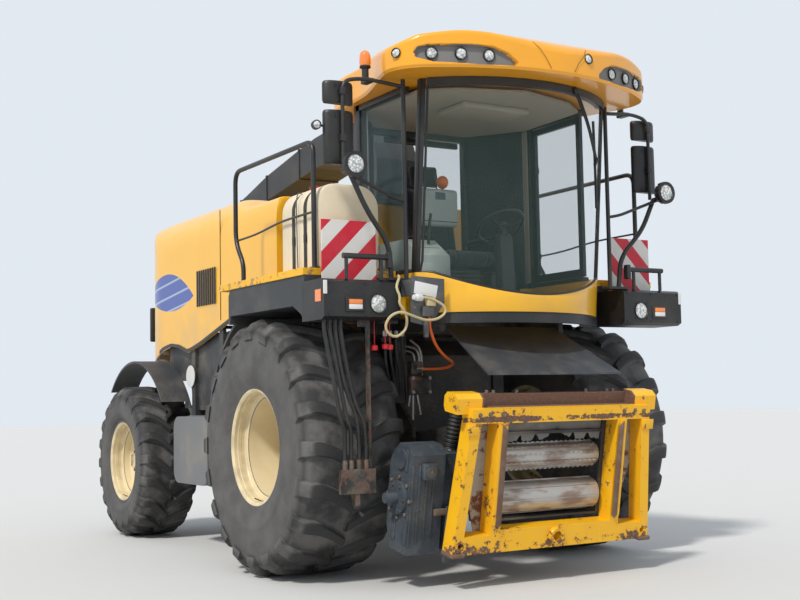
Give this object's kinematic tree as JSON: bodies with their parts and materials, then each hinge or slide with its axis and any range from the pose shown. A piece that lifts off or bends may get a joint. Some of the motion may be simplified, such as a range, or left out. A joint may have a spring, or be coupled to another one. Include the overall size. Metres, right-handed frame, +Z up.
{
  "type": "forage harvester",
  "caption": "Self-propelled forage harvester without header: cab over the crop intake, feed rolls, turning spout, large driven front wheels and steered rear wheels.",
  "frame": {"origin": "centre of the bounding box on the ground", "axes": "+Y to the rear, the machine faces -Y; +X to its left; +Z up"},
  "size_m": [3.24, 6.24, 3.7445],
  "materials": {
    "frame_paint": "semi-gloss chassis paint, dusty",
    "iron": "painted casting",
    "body_yellow": "glossy warm yellow paint",
    "roof_yellow": "glossy moulded roof",
    "black_trim": "satin black",
    "fender_plastic": "grey-black moulded plastic",
    "lens": "clear lamp lens",
    "glass": "tinted cab glass",
    "seat_fabric": "dark seat cloth",
    "cream_plastic": "cream tank plastic",
    "panel_white": "warning panel with diagonal stripes",
    "tank_grey": "grey moulded tank",
    "steel": "worn bare steel",
    "rubber_black": "hose rubber",
    "tyre_rubber": "dusty tyre rubber",
    "rim_cream": "cream rim paint",
    "cover_slate": "dark slate cover",
    "frame_yellow": "worn yellow paint with rust"
  },
  "bodies": {
    "chassis": {"chassis_frame": "frame_paint", "crop_duct": "frame_paint", "cab_mounts": "frame_paint", "hood_posts": "frame_paint", "engine_block": "iron", "front_axle": "iron", "rear_axle": "iron", "cab_base": "body_yellow", "cab_frame": "black_trim", "cab_roof": "roof_yellow", "roof_lamps": "lens", "windscreen": "glass", "cab_glass": "glass", "driver_seat": "seat_fabric", "cab_controls": "black_trim", "front_fenders": "fender_plastic", "decks": "body_yellow", "light_boxes": "black_trim", "front_lamps": "lens", "handrails": "black_trim", "additive_tank": "cream_plastic", "warning_panels": "panel_white", "hood": "body_yellow", "side_panels": "frame_paint", "fuel_tanks": "tank_grey", "rear_mudguards": "fender_plastic", "ladder": "frame_paint", "mirror_stays": "black_trim", "mirrors": "black_trim", "work_lights": "black_trim", "turret_base": "frame_paint", "hose_coupler": "iron", "coupler_hoses": "rubber_black", "tow_hitch": "iron"},
    "front_wheel_right": {"front_tyre_right": "tyre_rubber", "front_rim_right": "rim_cream"},
    "front_wheel_left": {"front_tyre_left": "tyre_rubber", "front_rim_left": "rim_cream"},
    "steering_knuckle_right": {"knuckle_right": "iron"},
    "steering_knuckle_left": {"knuckle_left": "iron"},
    "rear_wheel_right": {"rear_tyre_right": "tyre_rubber", "rear_rim_right": "rim_cream"},
    "rear_wheel_left": {"rear_tyre_left": "tyre_rubber", "rear_rim_left": "rim_cream"},
    "intake": {"intake_housing": "frame_paint", "header_frame": "frame_yellow", "header_gearbox": "iron"},
    "upper_feed_roll": {"upper_roll": "steel"},
    "lower_feed_roll": {"lower_roll": "steel"},
    "cover": {"intake_cover": "cover_slate"},
    "lift_cylinder_barrels": {"lift_barrels": "iron"},
    "lift_cylinder_rods": {"lift_rods": "steel"},
    "turret": {"spout_turret": "frame_paint"},
    "spout_arm": {"spout": "frame_paint"},
    "flap": {"spout_flap": "frame_paint"},
    "spout_cylinder_barrel": {"spout_barrel": "iron"},
    "spout_cylinder_rod": {"spout_rod": "steel"},
    "door": {"cab_door": "black_trim", "cab_door_glass": "glass"},
    "rear_hatch": {"rear_door": "frame_paint"}
  },
  "joints": [
    {"name": "front_wheel_right_spin", "type": "hinge", "parent": "chassis", "child": "front_wheel_right", "pos_m": [-1.22, -1.44, 0.9265], "axis": [1, 0, 0], "continuous": true},
    {"name": "front_wheel_left_spin", "type": "hinge", "parent": "chassis", "child": "front_wheel_left", "pos_m": [1.22, -1.44, 0.9265], "axis": [1, 0, 0], "continuous": true},
    {"name": "steering_right", "type": "hinge", "parent": "chassis", "child": "steering_knuckle_right", "pos_m": [-0.85, 1.86, 0.7065], "axis": [0, 0, 1], "range_deg": [-35, 35]},
    {"name": "steering_left", "type": "hinge", "parent": "chassis", "child": "steering_knuckle_left", "pos_m": [0.85, 1.86, 0.7065], "axis": [0, 0, 1], "range_deg": [-35, 35]},
    {"name": "rear_wheel_right_spin", "type": "hinge", "parent": "steering_knuckle_right", "child": "rear_wheel_right", "pos_m": [-1.205, 1.86, 0.7065], "axis": [1, 0, 0], "continuous": true},
    {"name": "rear_wheel_left_spin", "type": "hinge", "parent": "steering_knuckle_left", "child": "rear_wheel_left", "pos_m": [1.205, 1.86, 0.7065], "axis": [1, 0, 0], "continuous": true},
    {"name": "intake_lift", "type": "hinge", "parent": "chassis", "child": "intake", "pos_m": [0, -1.79, 0.95], "axis": [-1, 0, 0], "range_deg": [0, 15]},
    {"name": "upper_roll_spin", "type": "hinge", "parent": "intake", "child": "upper_feed_roll", "pos_m": [0, -2.77254, 0.84986], "axis": [1, 0, 0], "continuous": true},
    {"name": "lower_roll_spin", "type": "hinge", "parent": "intake", "child": "lower_feed_roll", "pos_m": [0, -2.73921, 0.57447], "axis": [1, 0, 0], "continuous": true},
    {"name": "cover_hinge", "type": "hinge", "parent": "chassis", "child": "cover", "pos_m": [0, -2.32, 1.75], "axis": [-1, 0, 0], "range_deg": [0, 27]},
    {"name": "lift_barrel_pivot", "type": "hinge", "parent": "chassis", "child": "lift_cylinder_barrels", "pos_m": [0, -1.67, 0.64], "axis": [-1, 0, 0], "range_deg": [0, 13.92]},
    {"name": "lift_rod_slide", "type": "slide", "parent": "lift_cylinder_barrels", "child": "lift_cylinder_rods", "axis": [0, -0.9654, -0.2609], "range_m": [0, 0.0856]},
    {"name": "spout_turn", "type": "hinge", "parent": "chassis", "child": "turret", "pos_m": [0, -0.69, 2.9], "axis": [0, 0, 1], "range_deg": [-95, 95]},
    {"name": "spout_lift", "type": "hinge", "parent": "turret", "child": "spout_arm", "pos_m": [0, -0.88, 3], "axis": [1, 0, 0], "range_deg": [0, 30]},
    {"name": "flap_tilt", "type": "hinge", "parent": "spout_arm", "child": "flap", "pos_m": [0, 2.85, 3.03], "axis": [-1, 0, 0], "range_deg": [0, 55]},
    {"name": "spout_barrel_pivot", "type": "hinge", "parent": "turret", "child": "spout_cylinder_barrel", "pos_m": [0, -0.435, 2.97], "axis": [1, 0, 0], "range_deg": [0, 40.2]},
    {"name": "spout_rod_slide", "type": "slide", "parent": "spout_cylinder_barrel", "child": "spout_cylinder_rod", "axis": [0, 0.777, 0.6295], "range_m": [0, 0.2071]},
    {"name": "cab_door_hinge", "type": "hinge", "parent": "chassis", "child": "door", "pos_m": [0.835, -1.702, 2.765], "axis": [0, 0, 1], "range_deg": [0, 70]},
    {"name": "rear_hatch_hinge", "type": "hinge", "parent": "chassis", "child": "rear_hatch", "pos_m": [0, 2.405, 2.455], "axis": [1, 0, 0], "range_deg": [0, 75]}
  ],
  "couplings": [
    {"joint": "steering_left", "follows": "steering_right", "ratio": 1},
    {"joint": "cover_hinge", "follows": "intake_lift", "ratio": 1.8},
    {"joint": "lift_barrel_pivot", "follows": "intake_lift", "ratio": 0.91492},
    {"joint": "lift_rod_slide", "follows": "intake_lift", "m_per_rad": 0.32312},
    {"joint": "spout_barrel_pivot", "follows": "spout_lift", "ratio": 1.3299},
    {"joint": "spout_rod_slide", "follows": "spout_lift", "m_per_rad": 0.3937}
  ]
}
